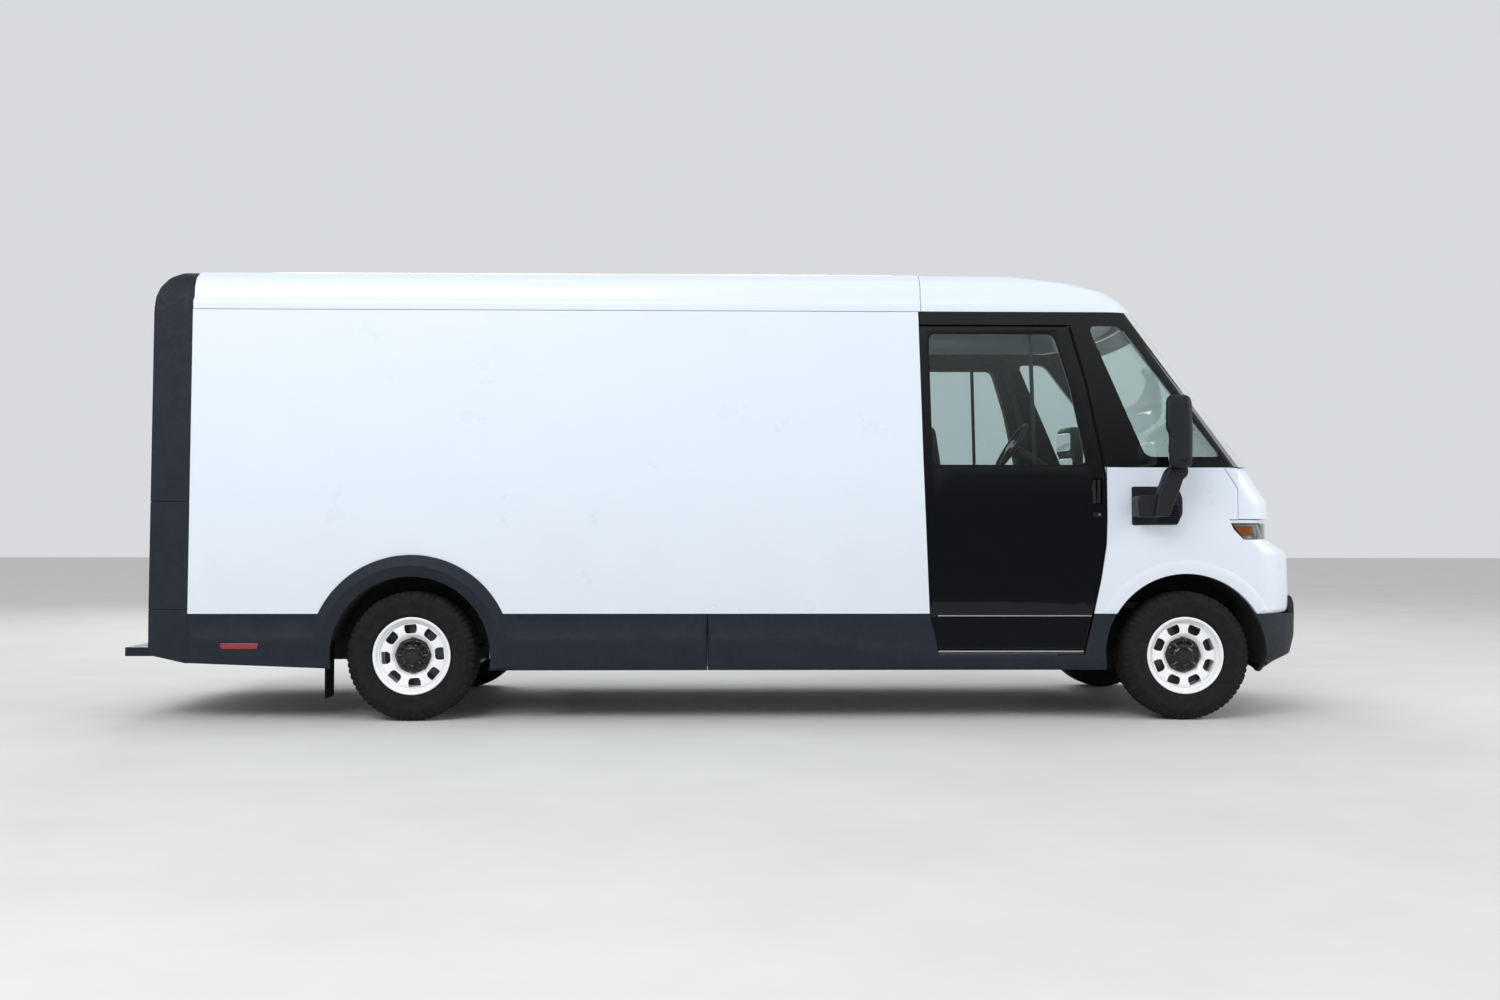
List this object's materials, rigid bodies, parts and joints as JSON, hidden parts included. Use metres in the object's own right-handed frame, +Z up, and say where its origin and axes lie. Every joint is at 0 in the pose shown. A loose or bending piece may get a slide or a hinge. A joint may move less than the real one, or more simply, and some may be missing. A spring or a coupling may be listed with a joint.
{
  "type": "electric delivery van",
  "caption": "Walk-in electric delivery van with hollow cab and cargo hold, sliding side doors, roll-up rear shutter, steered front wheels and rolling wheels.",
  "frame": {"origin": "on the ground, midway along the length and on the centre line", "axes": "+X forward, +Y to the van's left, +Z up"},
  "size_m": [7.2668, 2.81, 2.755],
  "materials": {
    "white_paint": "gloss",
    "gloss_black": "gloss",
    "dark_cladding": "textured",
    "bumper_grey": "textured",
    "window_glass": "gloss",
    "lamp_lens": "gloss",
    "red_lens": "gloss",
    "tyre_rubber": "matte",
    "rim_white": "gloss",
    "hub_black": "gloss",
    "mirror_black": "textured",
    "interior_black": "matte",
    "interior_grey": "matte",
    "deck_grey": "textured",
    "seat_cloth": "woven",
    "chassis_black": "satin",
    "battery_case": "cast",
    "drive_alloy": "cast",
    "shutter_white": "satin",
    "liner_black": "matte"
  },
  "bodies": {
    "root": {"frame": "chassis_black", "battery_pack": "battery_case", "drive_unit": "drive_alloy", "front_subframe": "chassis_black", "wishbones": "chassis_black", "dampers": "chassis_black", "rear_axle": "chassis_black", "leaf_springs": "chassis_black", "floor": "deck_grey", "cargo_sides": "white_paint", "cargo_roof": "white_paint", "rear_surround": "dark_cladding", "rear_shutter": "shutter_white", "rear_step": "dark_cladding", "red_lamps": "red_lens", "rear_skirts": "dark_cladding", "front_skirts": "dark_cladding", "wheel_liners": "liner_black", "mud_flaps": "liner_black", "fenders": "white_paint", "nose_panel": "white_paint", "lamp_band": "gloss_black", "headlamps": "lamp_lens", "hood": "white_paint", "front_bumper": "bumper_grey", "windshield": "window_glass", "cab_pillars": "gloss_black", "quarter_windows": "window_glass", "cab_roof": "white_paint", "bulkhead": "interior_grey", "dashboard": "interior_black", "driver_seat": "seat_cloth", "mirror_arms": "mirror_black", "mirror_heads": "mirror_black", "charge_inlet": "interior_black"},
    "knuckle_left": {"knuckle_left": "chassis_black"},
    "knuckle_right": {"knuckle_right": "chassis_black"},
    "steering_wheel": {"steering_wheel": "interior_black"},
    "bulkhead_door": {"bulkhead_door": "interior_grey"},
    "charge_flap": {"charge_flap": "white_paint"},
    "door_left": {"door_left": "gloss_black", "door_window_left": "window_glass"},
    "wheel_front_left": {"tyre_front_left": "tyre_rubber", "rim_front_left": "rim_white", "hub_front_left": "hub_black"},
    "wheel_rear_left": {"tyre_rear_left": "tyre_rubber", "rim_rear_left": "rim_white", "hub_rear_left": "hub_black"},
    "door_right": {"door_right": "gloss_black", "door_window_right": "window_glass"},
    "wheel_front_right": {"tyre_front_right": "tyre_rubber", "rim_front_right": "rim_white", "hub_front_right": "hub_black"},
    "wheel_rear_right": {"tyre_rear_right": "tyre_rubber", "rim_rear_right": "rim_white", "hub_rear_right": "hub_black"}
  },
  "joints": [
    {"name": "steer_left", "type": "hinge", "parent": "root", "child": "knuckle_left", "pos_m": [2.7675, 0.89, 0.388], "axis": [0, 0, 1], "range_deg": [-33, 33]},
    {"name": "steer_right", "type": "hinge", "parent": "root", "child": "knuckle_right", "pos_m": [2.7675, -0.89, 0.388], "axis": [0, 0, 1], "range_deg": [-33, 33]},
    {"name": "spin_front_left", "type": "hinge", "parent": "knuckle_left", "child": "wheel_front_left", "pos_m": [2.7675, 0.96, 0.388], "axis": [0, 1, 0], "continuous": true},
    {"name": "spin_rear_left", "type": "hinge", "parent": "root", "child": "wheel_rear_left", "pos_m": [-1.8935, 0.96, 0.388], "axis": [0, 1, 0], "continuous": true},
    {"name": "spin_front_right", "type": "hinge", "parent": "knuckle_right", "child": "wheel_front_right", "pos_m": [2.7675, -0.96, 0.388], "axis": [0, 1, 0], "continuous": true},
    {"name": "spin_rear_right", "type": "hinge", "parent": "root", "child": "wheel_rear_right", "pos_m": [-1.8935, -0.96, 0.388], "axis": [0, 1, 0], "continuous": true},
    {"name": "steering_wheel_turn", "type": "hinge", "parent": "root", "child": "steering_wheel", "pos_m": [2.0135, 0.44, 1.738], "axis": [-0.8387, 0, 0.5446], "range_deg": [-500, 500]},
    {"name": "door_left_slide", "type": "slide", "parent": "root", "child": "door_left", "axis": [-1, 0, 0], "range_m": [0, 0.88]},
    {"name": "door_right_slide", "type": "slide", "parent": "root", "child": "door_right", "axis": [-1, 0, 0], "range_m": [0, 0.88]},
    {"name": "bulkhead_door_slide", "type": "slide", "parent": "root", "child": "bulkhead_door", "axis": [0, 1, 0], "range_m": [0, 0.66]},
    {"name": "charge_flap_swing", "type": "hinge", "parent": "root", "child": "charge_flap", "pos_m": [2.9235, 1.0944, 1.06], "axis": [0, 0, -1], "range_deg": [0, 110]}
  ],
  "couplings": [
    {"joint": "steer_right", "follows": "steer_left", "ratio": 1},
    {"joint": "steering_wheel_turn", "follows": "steer_left", "ratio": 15}
  ]
}
